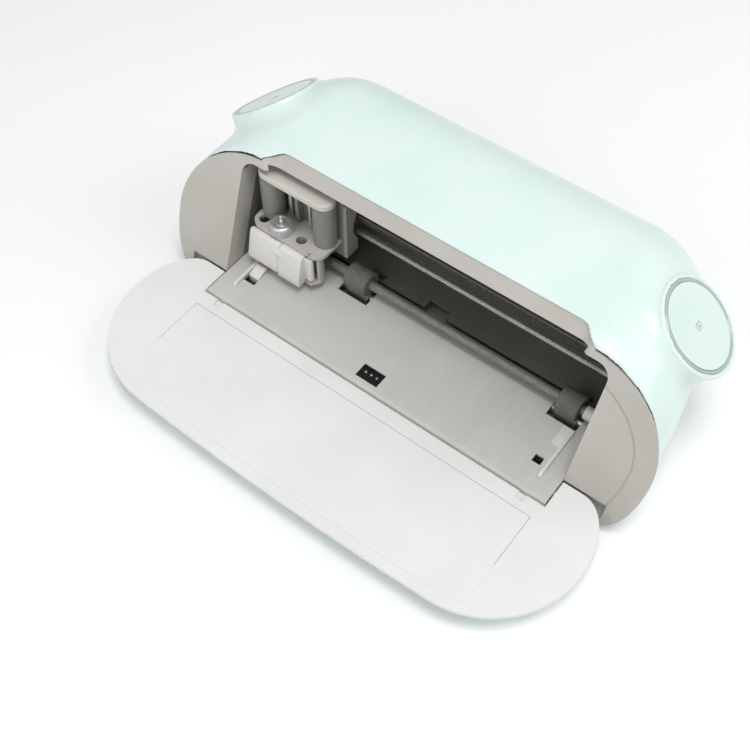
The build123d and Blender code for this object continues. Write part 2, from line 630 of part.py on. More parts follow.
def clamp_lever():
    """Two-part front of the blade clamp that swings on the pin at its right end."""
    bottom = BED_TOP + 10.0
    block_face = [(19.2, bottom), (18.9, bottom + 6), (25.6, LEVER_TOP), (30.3, LEVER_TOP), (30.3, bottom)]
    tab_bottom = CLAMP_Z + MOVE_GAP
    tab_face = [(18.6, tab_bottom), (18.1, tab_bottom + 6), (24.4, LEVER_TOP - 2), (26, LEVER_TOP),
                (30.3, LEVER_TOP), (30.3, tab_bottom)]
    lever = side_plate(block_face, -173.0, LEVER_SPLIT) + side_plate(tab_face, LEVER_SPLIT, -110.8)
    lever += rod_z(PIVOT_X, PIVOT_Y, CLAMP_Z + 2, LEVER_TOP - 2, 3.3)
    lever += block(-111.5, PIVOT_X, 27.8, 30.3, CLAMP_Z + 2, LEVER_TOP - 2)
    lever -= rod_z(PIVOT_X, PIVOT_Y, CLAMP_Z - 1, LEDGE_TOP, PIVOT_R + RUN_FIT)
    return lever


def blade_housing():
    nose_z, seat = BED_TOP + 14.0, LEDGE_TOP + 0.1
    body = rod_z(TOOL_X, TOOL_Y, nose_z, seat, BLADE_R)
    body += Pos(TOOL_X, TOOL_Y, nose_z - 6.5) * Cone(2.5, BLADE_R - 1, 6.5, align=(MID, MID, LOW))
    return body - rod_z(TOOL_X, TOOL_Y, 0, nose_z + 8, 1.0 + RUN_FIT)


def blade_knob():
    seat = LEDGE_TOP + 0.1
    knob = rod_z(TOOL_X, TOOL_Y, seat, seat + 10.5, 11.2)
    knob = chamfer(knob.edges().group_by(Axis.Z)[-1], 1.5)
    return knob - rod_z(TOOL_X, TOOL_Y, seat + 4, seat + 12, 2.2 + RUN_FIT)


def ejector_pin():
    shoulder, top = LEDGE_TOP + 14.0, LEDGE_TOP + 18.5
    pin = rod_z(TOOL_X, TOOL_Y, LEDGE_TOP + 7.0, shoulder, 2.2)
    pin = chamfer(pin.edges().group_by(Axis.Z)[-1], 0.8)
    tip = rod_z(TOOL_X, TOOL_Y, shoulder - 2.0, top, 1.3)
    return pin + fillet(tip.edges().group_by(Axis.Z)[-1], 0.8)


def blade():
    point, hilt = BED_TOP + 5.9, BED_TOP + 21.5
    stem = rod_z(TOOL_X, TOOL_Y, point, hilt, 1.0)
    return stem - Pos(TOOL_X - 0.2, TOOL_Y, point) * Rot(0, 35, 0) * Box(6, 6, 3, align=(MAX, MID, MID))


# ---- door ----
def door_outline(inset=0.0, rear_inset=0.0):
    """Door seen from above: tight rear corners and wide front corners."""
    rear_x, front_x, rear_y = 205.0, 151.0, -1.0 - rear_inset
    half = DOOR_HALF - inset
    radius = half - front_x
    rear_radii = (half - rear_x, rear_y - DOOR_WIDEST_Y)
    front_y = DOOR_WIDEST_Y - radius
    edges = [EllipticalCenterArc((rear_x, DOOR_WIDEST_Y), *rear_radii, start_angle=0, arc_size=90),
             Line((rear_x, rear_y), (-rear_x, rear_y)),
             EllipticalCenterArc((-rear_x, DOOR_WIDEST_Y), *rear_radii, start_angle=90, arc_size=90),
             CenterArc((-front_x, DOOR_WIDEST_Y), radius, 180, 90),
             ThreePointArc((-front_x, front_y), (0, inset - DOOR_REACH), (front_x, front_y)),
             CenterArc((front_x, DOOR_WIDEST_Y), radius, 270, 90)]
    return make_face(edges)


def door_slab(z0, z1, inset=0.0, taper=0.0):
    """Slab of the door with the notch for the bed's lip, kept clear of the leaning face."""
    lower, upper = door_outline(inset + taper, inset), door_outline(inset, inset)
    slab = loft([Plane.XY.offset(z0) * lower, Plane.XY.offset(z1) * upper])
    slab -= block(-NOTCH_HALF - inset, NOTCH_HALF + inset, NOTCH_Y - inset, 20, z0 - 1, z1 + 1)
    behind = LEAN_PLANE.offset(0.6) * Box(600, 120, 60, align=(MID, MID, MAX))
    return slab - behind


LID_GAP = 0.35
LID_THICK = 1.5
SEAM_FRONT_Y = -97.0         # in front of this line the lid sits without a gap


def lid_form(grow, z0, z1):
    """Flush panel in the door's inner face."""
    plate = extrude(Plane.XY.offset(z0) * door_outline(10.0 - grow, 10.0), amount=z1 - z0, dir=(0, 0, 1))
    return plate & block(-180.9 - grow, 180.9 + grow, -170, -45.2 + grow, z0 - 1, z1 + 1)


def door_panel():
    z0, z1 = DOOR_INNER_Z - DOOR_THICK, DOOR_INNER_Z - LINER_THICK
    panel = door_slab(z0, z1, taper=DOOR_TAPER)
    pocket = door_slab(z0 + 2.5, z1 + 1, inset=6.0, taper=DOOR_TAPER - 1)
    for side in (1, -1):
        x0, x1 = sorted((side * NOTCH_HALF, side * (NOTCH_HALF + 14)))
        pocket -= block(x0, x1, -24, 5, z0, z1 + 2)
    panel -= pocket
    return panel - hinge_bores()


def hinge_bores():
    right = rod_x(NOTCH_HALF - 1, NOTCH_HALF + 11, HINGE_Y, HINGE_Z, HINGE_R + RUN_FIT)
    return right + mirror_x(right)


def door_liner():
    liner = door_slab(DOOR_INNER_Z - LINER_THICK, DOOR_INNER_Z, inset=0.6)
    for side in (1, -1):
        x0, x1 = sorted(side * x for x in DENT_X)
        liner -= block(x0, x1, NOTCH_Y - 7.6, NOTCH_Y + 1, DOOR_INNER_Z - 2.1, 40)
    seam = lid_form(LID_GAP, DOOR_INNER_Z - LID_THICK, DOOR_INNER_Z + 1) & block(-300, 300, SEAM_FRONT_Y, 0, 0, 40)
    return liner - lid_form(0.0, DOOR_INNER_Z - LID_THICK, DOOR_INNER_Z + 1) - seam


def door_inner_panel():
    return lid_form(0.0, DOOR_INNER_Z - LID_THICK, DOOR_INNER_Z)


def hinge_pins():
    right = rod_x(172.0, NOTCH_HALF + 10, HINGE_Y, HINGE_Z, HINGE_R)
    return Compound([right, mirror_x(right)])


# ---- shoulder buttons ----
def button(side):
    disc = Pos(0, 0, -3.2) * Cylinder(BUTTON_R, 2.8, align=(MID, MID, LOW))
    dish = Pos(0, 0, 620 - 1.3) * Sphere(620)
    stem = Pos(0, 0, -4.6) * Cylinder(2.5, 1.4, align=(MID, MID, LOW))
    return ear_plane(side) * (disc - dish + stem)


def button_ring(side):
    ring = Cylinder(RING_R, 3.8, align=(MID, MID, MAX)) - Cylinder(BUTTON_R + MOVE_GAP, 20)
    return ear_plane(side) * chamfer(ring.edges().group_by(Axis.Z)[-1], 0.8)


def button_switches():
    dome = Pos(0, 0, -POCKET_DEPTH) * Cylinder(6.0, 0.3, align=(MID, MID, LOW))
    return Compound([ear_plane(side) * dome for side in (1, -1)])


# ---- electronics ----
def control_board():
    """Board with its large components soldered on."""
    board = block(-160, -20, 150.0, 151.6, 48, 118)
    board += block(-150, -120, 151.6, 157, 70, 95)
    board += block(-100, -80, 151.6, 154, 60, 80)
    return board + block(-70, -45, 151.6, 160, 90, 110)


def dc_jack():
    jack = rod_y(DC_X, 176, BODY_BACK - 3, PORT_Z, 5.5)
    return jack - rod_y(DC_X, 184, BODY_BACK, PORT_Z, 2.8)


def usb_port():
    port = block(USB_X - 6, USB_X + 6, 178, BODY_BACK - 3, PORT_Z - 5.5, PORT_Z + 5.5)
    return port - block(USB_X - 4.2, USB_X + 4.2, 184, BODY_BACK, PORT_Z - 3.9, PORT_Z + 3.9)


def save(node, shape):
    """Write one sub-part in the row's frame, with its origin under the centre of the footprint."""
    export_step(Pos(0, ROW_SHIFT, 0) * shape, f"parts/{node}.step")


PARTS = {
    "top_shell": top_shell(),
    "front_bezel": front_bezel(),
    "rear_slot_trim": rear_slot_trim(),
    "base_pan": base_pan(),
    "feet": feet(),
    "base_screws": base_screws(),
    "left_frame": side_frame(FRAME_LEFT, -1, 128.0),
    "right_frame": side_frame(FRAME_RIGHT, 1, 102.0),
    "shaft_bushings": shaft_bushings(),
    "cutting_bed": cutting_bed(),
    "rear_plate": rear_plate(),
    "shaft_springs": shaft_springs(),
    "sensor_window": sensor_window(),
    "home_sensor": home_sensor(),
    "parking_block": parking_block(),
    "mat_guide_left": mat_guide(-1),
    "mat_guide_right": mat_guide(1),
    "pinch_shaft": pinch_shaft(),
    "shaft_collar": shaft_collar(),
    "drive_shaft": drive_shaft(),
    "drive_rollers": drive_rollers(),
    "feed_pulley": feed_pulley(),
    "feed_motor": feed_motor(),
    "feed_motor_pulley": feed_motor_pulley(),
    "feed_belt": feed_belt(),
    "guide_rail": guide_rail(),
    "rail_beam": rail_beam(),
    "cross_motor": cross_motor(),
    "motor_pulley": motor_pulley(),
    "idler_pulley": idler_pulley(),
    "idler_pin": idler_pin(),
    "cross_belt": cross_belt(),
    "carriage_frame": carriage_frame(),
    "carriage_cap": carriage_cap(),
    "carriage_bracket": carriage_bracket(),
    "carriage_slider": carriage_slider(),
    "lift_rods": lift_rods(),
    "lift_motor": lift_motor(),
    "tool_head": tool_head(),
    "pivot_pin": pivot_pin(),
    "clamp_lever": clamp_lever(),
    "blade_housing": blade_housing(),
    "blade_knob": blade_knob(),
    "ejector_pin": ejector_pin(),
    "blade": blade(),
    "door_panel": door_panel(),
    "door_liner": door_liner(),
    "door_inner_panel": door_inner_panel(),
    "hinge_pins": hinge_pins(),
    "button_switches": button_switches(),
    "control_board": control_board(),
    "dc_jack": dc_jack(),
    "usb_port": usb_port(),
}
for name in ROLLERS:
    PARTS[f"pinch_roller_{name}"] = pinch_roller(name)
for name, side in (("left", -1), ("right", 1)):
    PARTS[f"{name}_button"] = button(side)
    PARTS[f"{name}_button_ring"] = button_ring(side)

os.makedirs("parts", exist_ok=True)
for node, shape in PARTS.items():
    save(node, shape)
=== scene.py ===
import json
from math import cos, pi, radians, sin, sqrt

import bmesh
import bpy
import numpy
from mathutils import Matrix, Vector
from mathutils.bvhtree import BVHTree


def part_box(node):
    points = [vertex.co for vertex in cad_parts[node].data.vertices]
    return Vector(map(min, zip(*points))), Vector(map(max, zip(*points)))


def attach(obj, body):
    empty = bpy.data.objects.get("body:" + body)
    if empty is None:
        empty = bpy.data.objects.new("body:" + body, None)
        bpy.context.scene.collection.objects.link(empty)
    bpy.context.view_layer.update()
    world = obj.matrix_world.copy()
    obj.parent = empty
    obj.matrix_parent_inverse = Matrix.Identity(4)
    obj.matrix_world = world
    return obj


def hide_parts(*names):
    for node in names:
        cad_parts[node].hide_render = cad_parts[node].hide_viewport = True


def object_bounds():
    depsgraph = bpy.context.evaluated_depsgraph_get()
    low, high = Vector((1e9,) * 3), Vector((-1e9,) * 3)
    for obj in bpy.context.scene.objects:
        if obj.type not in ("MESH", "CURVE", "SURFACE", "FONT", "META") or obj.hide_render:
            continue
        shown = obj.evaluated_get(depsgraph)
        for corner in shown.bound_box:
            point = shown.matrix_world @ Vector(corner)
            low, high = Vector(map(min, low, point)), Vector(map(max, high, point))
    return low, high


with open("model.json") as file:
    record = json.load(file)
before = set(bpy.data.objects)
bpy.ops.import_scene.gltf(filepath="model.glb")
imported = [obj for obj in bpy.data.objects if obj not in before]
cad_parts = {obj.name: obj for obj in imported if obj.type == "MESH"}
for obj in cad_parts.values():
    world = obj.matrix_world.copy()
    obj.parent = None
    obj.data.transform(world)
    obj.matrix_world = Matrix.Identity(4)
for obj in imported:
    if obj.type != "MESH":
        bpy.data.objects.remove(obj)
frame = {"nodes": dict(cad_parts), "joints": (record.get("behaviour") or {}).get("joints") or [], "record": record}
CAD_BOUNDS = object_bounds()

# A desktop vinyl cutter with its front door down. Metres, in the CAD frame.
MM = 0.001


# ---- materials ----
def srgb(red, green, blue):
    """Linear colour of an 8-bit screen colour."""
    def linear(value):
        value /= 255
        return value / 12.92 if value <= 0.04045 else ((value + 0.055) / 1.055) ** 2.4
    return (linear(red), linear(green), linear(blue), 1.0)


class Surface:
    """A node material built round one Principled shader."""

    def __init__(self, name, roughness=0.5, metallic=0.0, coat=0.0):
        self.material = bpy.data.materials.new(name)
        self.material.use_nodes = True
        self.tree = self.material.node_tree
        self.shader = self.tree.nodes["Principled BSDF"]
        self.shader.inputs["Roughness"].default_value = roughness
        self.shader.inputs["Metallic"].default_value = metallic
        self.shader.inputs["Coat Weight"].default_value = coat
        self.coords = self.add("ShaderNodeTexCoord").outputs["Object"]
        self.normal = None

    def add(self, kind, **settings):
        node = self.tree.nodes.new(kind)
        for key, value in settings.items():
            setattr(node, key, value)
        return node

    def link(self, source, target):
        self.tree.links.new(source, target)

    def noise(self, size, detail=3.0, stretch=(1, 1, 1)):
        """Noise whose patches are about size metres wide, drawn out along the axes by stretch."""
        mapping = self.add("ShaderNodeMapping")
        mapping.inputs["Scale"].default_value = [1 / s for s in stretch]
        texture = self.add("ShaderNodeTexNoise")
        texture.inputs["Scale"].default_value = 1 / size
        texture.inputs["Detail"].default_value = detail
        self.link(self.coords, mapping.inputs["Vector"])
        self.link(mapping.outputs["Vector"], texture.inputs["Vector"])
        return texture.outputs["Fac"]

    def spread(self, value, start, end, low=0.0, high=1.0):
        """Maps start..end of a value onto low..high."""
        node = self.add("ShaderNodeMapRange")
        self.link(value, node.inputs["Value"])
        for key, number in (("From Min", start), ("From Max", end), ("To Min", low), ("To Max", high)):
            node.inputs[key].default_value = number
        return node.outputs["Result"]

    def blend(self, factor, first, second):
        """Colour between two colours or colour outputs."""
        node = self.add("ShaderNodeMix", data_type="RGBA")
        self.link(factor, node.inputs["Factor"])
        for socket, colour in ((node.inputs[6], first), (node.inputs[7], second)):
            if isinstance(colour, tuple):
                socket.default_value = colour
            else:
                self.link(colour, socket)
        return node.outputs[2]

    def colour(self, output):
        self.link(output, self.shader.inputs["Base Color"])

    def rough(self, value, low, high):
        self.link(self.spread(value, 0.3, 0.7, low, high), self.shader.inputs["Roughness"])

    def bump(self, height, depth):
        """Relief of about depth metres."""
        node = self.add("ShaderNodeBump")
        node.inputs["Distance"].default_value = depth
        self.link(height, node.inputs["Height"])
        if self.normal:
            self.link(self.normal, node.inputs["Normal"])
        self.normal = node.outputs["Normal"]
        self.link(self.normal, self.shader.inputs["Normal"])

    def soft_edges(self, radius):
        """Rounds the shading of sharp edges and returns a mask of them."""
        bevel = self.add("ShaderNodeBevel", samples=6)
        bevel.inputs["Radius"].default_value = radius
        geometry = self.add("ShaderNodeNewGeometry")
        compare = self.add("ShaderNodeVectorMath", operation="DOT_PRODUCT")
        self.link(bevel.outputs["Normal"], compare.inputs[0])
        self.link(geometry.outputs["Normal"], compare.inputs[1])
        self.normal = bevel.outputs["Normal"]
        self.link(self.normal, self.shader.inputs["Normal"])
        return self.spread(compare.outputs["Value"], 0.99, 0.75)


def moulded(name, base, shade, worn_and_highlight, roughness=0.45, grain=0.5 * MM, relief=0.02 * MM,
            edge=0.4 * MM, coat=0.0):
    """Moulded plastic: slow colour drift, spark-eroded grain, and edges lighter as slight wear and as a painted
    highlight.
    """
    surface = Surface(name, roughness, coat=coat)
    edges = surface.soft_edges(edge)
    drift = surface.noise(70 * MM, 4)
    mottle = surface.noise(2.5 * MM, 5)
    colour = surface.blend(surface.spread(drift, 0.35, 0.65), base, shade)
    fleck = tuple(0.94 * c for c in base[:3]) + (1.0,)
    colour = surface.blend(surface.spread(mottle, 0.52, 0.85, 0.0, 0.35), colour, fleck)
    # edges blended to the lighter colour: slight wear and a painted highlight
    surface.colour(surface.blend(edges, colour, worn_and_highlight))
    surface.bump(surface.noise(grain, 2), relief)
    surface.rough(surface.noise(25 * MM, 5), roughness - 0.06, roughness + 0.08)
    return surface.material


def brushed(name, dark, light, roughness, along=0, metallic=1.0):
    """Metal with fine lines along one axis, and edges lightened as rubbing wear and as a painted highlight."""
    surface = Surface(name, roughness, metallic)
    edges = surface.soft_edges(0.35 * MM)
    stretch = [1.0, 1.0, 1.0]
    stretch[along] = 120.0
    lines = surface.noise(0.25 * MM, 3, stretch)
    colour = surface.blend(surface.spread(lines, 0.3, 0.7), dark, light)
    edge_highlight = tuple(min(1.0, 1.5 * c + 0.05) for c in light[:3]) + (1.0,)
    # edges in a lighter colour: rubbing wear and a painted highlight
    surface.colour(surface.blend(edges, colour, edge_highlight))
    surface.bump(lines, 0.015 * MM)
    surface.rough(surface.noise(12 * MM, 4), roughness - 0.06, roughness + 0.1)
    return surface.material


def gritted(name):
    """Steel shaft with a blasted, gritty coat."""
    surface = Surface(name, 0.6, metallic=0.55)
    grit = surface.noise(0.45 * MM, 2)
    patches = surface.noise(9 * MM, 4)
    colour = surface.blend(surface.spread(grit, 0.35, 0.65), srgb(74, 72, 68), srgb(168, 166, 160))
    surface.colour(surface.blend(surface.spread(patches, 0.45, 0.8, 0, 0.5), colour, srgb(110, 108, 104)))
    surface.bump(grit, 0.12 * MM)
    surface.rough(patches, 0.5, 0.7)
    return surface.material


def rubber(name, base, dusty):
    """Ground rubber with a little dust in its grain."""
    surface = Surface(name, 0.8)
    surface.soft_edges(0.5 * MM)
    dust = surface.noise(4 * MM, 6)
    surface.colour(surface.blend(surface.spread(dust, 0.42, 0.75), base, dusty))
    surface.bump(surface.noise(0.3 * MM, 3), 0.04 * MM)
    surface.rough(dust, 0.7, 0.9)
    return surface.material


def bed_surface(name):
    """Light grey bed, with faint lines along Y where mats have slid."""
    surface = Surface(name, 0.5)
    edges = surface.soft_edges(0.4 * MM)
    rubbed = surface.noise(1.2 * MM, 4, (1, 60, 1))
    patches = surface.noise(60 * MM, 4)
    colour = surface.blend(surface.spread(patches, 0.35, 0.7), srgb(197, 196, 191), srgb(188, 187, 181))
    colour = surface.blend(surface.spread(rubbed, 0.55, 0.8, 0, 0.5), colour, srgb(214, 213, 209))
    # edges in a lighter colour: wear and a painted highlight
    surface.colour(surface.blend(edges, colour, srgb(226, 225, 221)))
    surface.bump(surface.noise(0.6 * MM, 2), 0.025 * MM)
    surface.rough(rubbed, 0.42, 0.56)
    return surface.material


def belt_surface(name):
    """Black toothed belt, with a dusty face."""
    surface = Surface(name, 0.65)
    dust = surface.noise(3 * MM, 5)
    surface.colour(surface.blend(surface.spread(dust, 0.4, 0.75), srgb(46, 45, 43), srgb(84, 82, 78)))
    surface.bump(surface.noise(0.3 * MM, 3), 0.05 * MM)
    surface.rough(dust, 0.55, 0.8)
    return surface.material


def board_surface(name):
    """Green circuit board with copper tracks under the lacquer."""
    surface = Surface(name, 0.35, coat=0.4)
    tracks = surface.add("ShaderNodeTexBrick")
    tracks.inputs["Scale"].default_value = 1 / (6 * MM)
    tracks.inputs["Mortar Size"].default_value = 0.03
    surface.link(surface.coords, tracks.inputs["Vector"])
    drift = surface.noise(8 * MM, 4)
    colour = surface.blend(surface.spread(drift, 0.4, 0.6), srgb(20, 84, 50), srgb(28, 104, 60))
    surface.colour(surface.blend(tracks.outputs["Fac"], colour, srgb(84, 132, 66)))
    surface.bump(tracks.outputs["Fac"], 0.05 * MM)
    return surface.material


# the third colour of a moulded finish is its lighter edge colour: slight wear and a painted highlight
MINT = dict(base=srgb(219, 235, 231), shade=srgb(211, 231, 225), worn_and_highlight=srgb(229, 240, 237))

MATERIALS = {
    "mint_shell": moulded("mint", **MINT, roughness=0.34, grain=1.2 * MM, relief=0.012 * MM, coat=0.25),
    "grey_bezel": moulded("warm_grey", srgb(188, 185, 179), srgb(180, 177, 170), srgb(205, 203, 198), 0.52),
    "door_white": moulded("off_white", srgb(228, 228, 227), srgb(222, 222, 221),
                          srgb(238, 238, 237), 0.4, relief=0.012 * MM, edge=0.5 * MM),
    "bed_grey": bed_surface("bed_grey"),
    "dark_grey": moulded("dark_grey", srgb(122, 119, 112), srgb(112, 109, 102), srgb(150, 147, 140), 0.5),
    "carriage_grey": moulded("carriage_grey", srgb(160, 158, 150), srgb(146, 144, 136),
                             srgb(206, 204, 197), 0.4, edge=0.7 * MM),
    "lever_grey": moulded("lever_grey", srgb(222, 220, 214), srgb(214, 212, 206),
                          srgb(238, 236, 231), 0.38, edge=1.2 * MM),
    "black_plastic": moulded("black_plastic", srgb(8, 8, 9), srgb(13, 13, 14), srgb(40, 40, 40), 0.2,
                             relief=0.004 * MM),
    "rubber_dark": rubber("roller_rubber", srgb(100, 98, 91), srgb(118, 116, 108)),
    "rubber_foot": rubber("foot_rubber", srgb(40, 40, 40), srgb(66, 65, 63)),
    "rubber_belt": belt_surface("belt_rubber"),
    "grit_steel": gritted("grit_steel"),
    "steel": brushed("steel", srgb(186, 186, 187), srgb(222, 222, 223), 0.34, metallic=0.85),
    "bright_steel": brushed("bright_steel", srgb(190, 190, 188), srgb(230, 230, 228), 0.28, metallic=0.75),
    "dark_sheet": brushed("dark_sheet", srgb(84, 82, 77), srgb(98, 96, 90), 0.5, metallic=0.0),
    "spring_steel": brushed("spring_steel", srgb(120, 118, 114), srgb(160, 158, 154), 0.35, along=2),
    "motor_metal": brushed("motor_case", srgb(60, 60, 64), srgb(84, 84, 88), 0.4),
    "brass_bush": brushed("brass_bush", srgb(150, 118, 62), srgb(196, 160, 92), 0.35),
    "board_green": board_surface("board_green"),
    "ring_silver": moulded("ring_silver", srgb(176, 186, 184), srgb(168, 178, 176),
                           srgb(220, 228, 226), 0.28, relief=0.006 * MM, coat=0.3),
}

# sub-parts whose colour differs from the rest of their slot: the shaft collar in its own finish, the others
# darkened as painted shade and lightened as painted light
FINISH_AND_PAINTED_LIGHT = {
    # left frame darker than the bed: painted shade on the side wall of the recess
    "left_frame": moulded("frame_painted_shade", srgb(128, 126, 119), srgb(116, 114, 107), srgb(160, 158, 151), 0.5),
    "shaft_collar": MATERIALS["lever_grey"],
    # carriage posts darker: painted shade under the brow
    "carriage_frame": moulded("post_painted_shade", srgb(134, 132, 126), srgb(118, 116, 110),
                              srgb(192, 190, 184), 0.4, edge=0.7 * MM),
    # carriage cap lighter than the carriage: painted light on its top
    "carriage_cap": moulded("cap_painted_light", srgb(206, 204, 196), srgb(196, 194, 186), srgb(224, 222, 215), 0.4,
                            edge=0.7 * MM),
    # tool head's ledge lighter than the carriage: painted light
    "tool_head": moulded("ledge_painted_light", srgb(186, 184, 177), srgb(176, 174, 167), srgb(216, 214, 208), 0.4,
                         edge=0.7 * MM),
}

for part in frame["record"]["subparts"]:
    finish_and_light = FINISH_AND_PAINTED_LIGHT.get(part["node"], MATERIALS[part["material_slot"]])
    for slot in frame["nodes"][part["node"]].material_slots:
        slot.material = finish_and_light


# ---- mesh helpers ----
def middle(node):
    low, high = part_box(node)
    return (low + high) / 2


def joint(name):
    return next(j for j in frame["joints"] if j["name"] == name)


def piece(name, mesh, material, body):
    """Finishes a bmesh as a piece of the object."""
    bmesh.ops.recalc_face_normals(mesh, faces=mesh.faces)
    data = bpy.data.meshes.new(name)
    mesh.to_mesh(data)
    mesh.free()
    made = bpy.data.objects.new(name, data)
    bpy.context.scene.collection.objects.link(made)
    data.materials.append(material)
    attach(made, body)
    return made


def shade_smooth(made, angle=35):
    """Smooth shading, except across edges sharper than the angle."""
    made.data.shade_smooth()
    made.data.set_sharp_from_angle(angle=radians(angle))
    return made


def rings(mesh, loops, close_ends=True):
    """Skins a list of vertex loops of one length; each loop is a list of points."""
    made = [[mesh.verts.new(point) for point in loop] for loop in loops]
    count = len(made[0])
    for first, second in zip(made, made[1:]):
        for i in range(count):
            k = (i + 1) % count
            mesh.faces.new((first[i], first[k], second[k], second[i]))
    if close_ends:
        mesh.faces.new(made[0])
        mesh.faces.new(made[-1])


def circle(centre, radius, z, count, bump=0.0, teeth=0):
    """Points of a circle about Z, with teeth that stand out by bump."""
    points = []
    for i in range(count):
        turn = 2 * pi * i / count
        out = radius + (bump * (0.5 + 0.5 * cos(teeth * turn)) if teeth else 0.0)
        points.append((centre.x + out * cos(turn), centre.y + out * sin(turn), z))
    return points


# ---- knurled knob of the blade holder ----
def knurled_knob():
    low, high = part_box("blade_knob")
    centre, radius = middle("blade_knob"), (high.x - low.x) / 2
    depth, teeth, steps = 0.7 * MM, 36, 192
    pin_low, pin_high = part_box("ejector_pin")
    bore = (pin_high.x - pin_low.x) / 2 + 0.1 * MM
    groove = bore + 3.4 * MM
    profile = [
        (radius - 1.4 * MM, low.z, 0),
        (radius - 0.6 * MM, low.z + 0.5 * MM, 0),
        (radius - depth, low.z + 0.9 * MM, depth),
        (radius - depth, high.z - 1.7 * MM, depth),
        (radius - 0.6 * MM, high.z - 1.3 * MM, 0),
        (radius - 1.4 * MM, high.z - 0.5 * MM, 0),
        (radius - 2.4 * MM, high.z, 0),
        (groove + 0.6 * MM, high.z, 0),
        (groove + 0.3 * MM, high.z - 0.5 * MM, 0),
        (groove, high.z - 0.5 * MM, 0),
        (groove - 0.3 * MM, high.z, 0),
        (bore + 0.8 * MM, high.z, 0),
        (bore, high.z - 0.8 * MM, 0),
        (bore, low.z + 4 * MM, 0),
    ]
    mesh = bmesh.new()
    rings(mesh, [circle(centre, r, z, steps, bump, teeth) for r, z, bump in profile])
    made = piece("knurled_knob", mesh, MATERIALS["steel"], "blade_holder")
    shade_smooth(made, 25)
    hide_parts("blade_knob")


# ---- toothed cross belt ----
BELT_PITCH = 2 * MM


def belt_path(along, run, radius, left, right, centre_y):
    """Point of the belt's back at a distance along its loop, and the direction out of the loop."""
    if along < run:
        return Vector((left + along, centre_y - radius, 0)), Vector((0, -1, 0))
    if along < run + pi * radius:
        turn = (along - run) / radius - pi / 2
        out = Vector((cos(turn), sin(turn), 0))
        return Vector((right, centre_y, 0)) + out * radius, out
    if along < 2 * run + pi * radius:
        return Vector((right - (along - run - pi * radius), centre_y + radius, 0)), Vector((0, 1, 0))
    turn = (along - 2 * run - pi * radius) / radius + pi / 2
    out = Vector((cos(turn), sin(turn), 0))
    return Vector((left, centre_y, 0)) + out * radius, out


def toothed_belt():
    low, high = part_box("cross_belt")
    radius = (high.y - low.y) / 2
    centre_y = (low.y + high.y) / 2
    left, right = low.x + radius, high.x - radius
    run = right - left
    length = 2 * run + 2 * pi * radius
    steps = 4 * round(length / BELT_PITCH)
    loops = []
    for i in range(steps):
        spot, out = belt_path(length * i / steps, run, radius, left, right, centre_y)
        tooth = i % 4 < 2
        outer = spot - out * (0.0 if tooth else 0.25 * MM)
        inner = spot - out * (1.1 * MM if tooth else 0.7 * MM)
        corners = ((outer, low.z), (outer, high.z), (inner, high.z), (inner, low.z))
        loops.append([(p.x, p.y, z) for p, z in corners])
    mesh = bmesh.new()
    rings(mesh, loops + loops[:1], close_ends=False)
    bmesh.ops.remove_doubles(mesh, verts=mesh.verts, dist=0.0001 * MM)
    made = piece("toothed_belt", mesh, MATERIALS["rubber_belt"], "housing")
    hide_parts("cross_belt")


# ---- signs on the shoulder buttons ----
def button_frame(node, joint_name):
    """Centre of a button's outer face, its outward normal and two axes on the face."""
    outward = -Vector(joint(joint_name)["axis"]).normalized()
    top = max(vertex.co.dot(outward) for vertex in frame["nodes"][node].data.vertices)
    centre = middle(node)
    centre += outward * (top - centre.dot(outward))
    across = Vector((0, 1, 0)).cross(outward).normalized()
    return centre, outward, across, outward.cross(across).normalized()


def stroke(mesh, points, width, height, place):
    """Raised line through 2-D points, mitred at its bends."""
    loops = []
    for i, point in enumerate(points):
        before, after = points[max(i - 1, 0)], points[min(i + 1, len(points) - 1)]
        run = (Vector(after) - Vector(before)).normalized()
        side = Vector((-run.y, run.x)) * width / 2
        left, right = Vector(point) + side, Vector(point) - side
        loops.append([place(left, 0), place(left, height), place(right, height), place(right, 0)])
    rings(mesh, loops)


def arc_points(radius, start, end):
    """Points along an arc between two angles in degrees."""
    steps = 24
    turns = [radians(start + (end - start) * i / steps) for i in range(steps + 1)]
    return [(radius * cos(turn), radius * sin(turn)) for turn in turns]


SIGN_COLOUR = moulded("sign_grey", srgb(132, 142, 140), srgb(124, 134, 132),
                      srgb(150, 160, 158), 0.4)
LINE_WIDTH, LINE_HEIGHT = 0.55 * MM, 0.16 * MM
DISH = 0.93 * MM             # the discs are dished by about this at the centre


def button_sign(node, joint_name, body, lines):
    """Raised line drawing in the dish of a button."""
    centre, outward, across, up = button_frame(node, joint_name)

    def place(point, height):
        lift = height - DISH
        return centre + across * point[0] + up * point[1] + outward * lift
    mesh = bmesh.new()
    for points in lines:
        stroke(mesh, points, LINE_WIDTH, LINE_HEIGHT, place)
    piece(body + "_sign", mesh, SIGN_COLOUR, body)


def power_sign():
    size = 3.4 * MM
    return [arc_points(size, 120, 420), [(0, 0.3 * size), (0, 1.25 * size)]]


def sheet_sign():
    w, h = 2.6 * MM, 3.4 * MM
    sheet = [(-w, -h), (w, -h), (w, h), (-w, h), (-w, -h * 0.98)]
    arrow = [(-0.5 * w, 0), (0.5 * w, 0)]
    head = [(0.05 * w, 0.42 * w), (0.5 * w, 0), (0.05 * w, -0.42 * w)]
    return [sheet, arrow, head]


# ---- sockets at the rear ----
def jack_pin():
    mouth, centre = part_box("dc_jack")[1].y, middle("dc_jack")
    axis, tip = Vector((centre.x, centre.z, 0)), mouth - 1.2 * MM
    loops = []
    for radius, y in ((1.0 * MM, mouth - 10 * MM), (1.0 * MM, tip - 0.5 * MM), (0.6 * MM, tip)):
        loops.append([(x, y, z) for x, z, _ in circle(axis, radius, 0, 20)])
    mesh = bmesh.new()
    rings(mesh, loops)
    shade_smooth(piece("jack_pin", mesh, MATERIALS["steel"], "housing"))


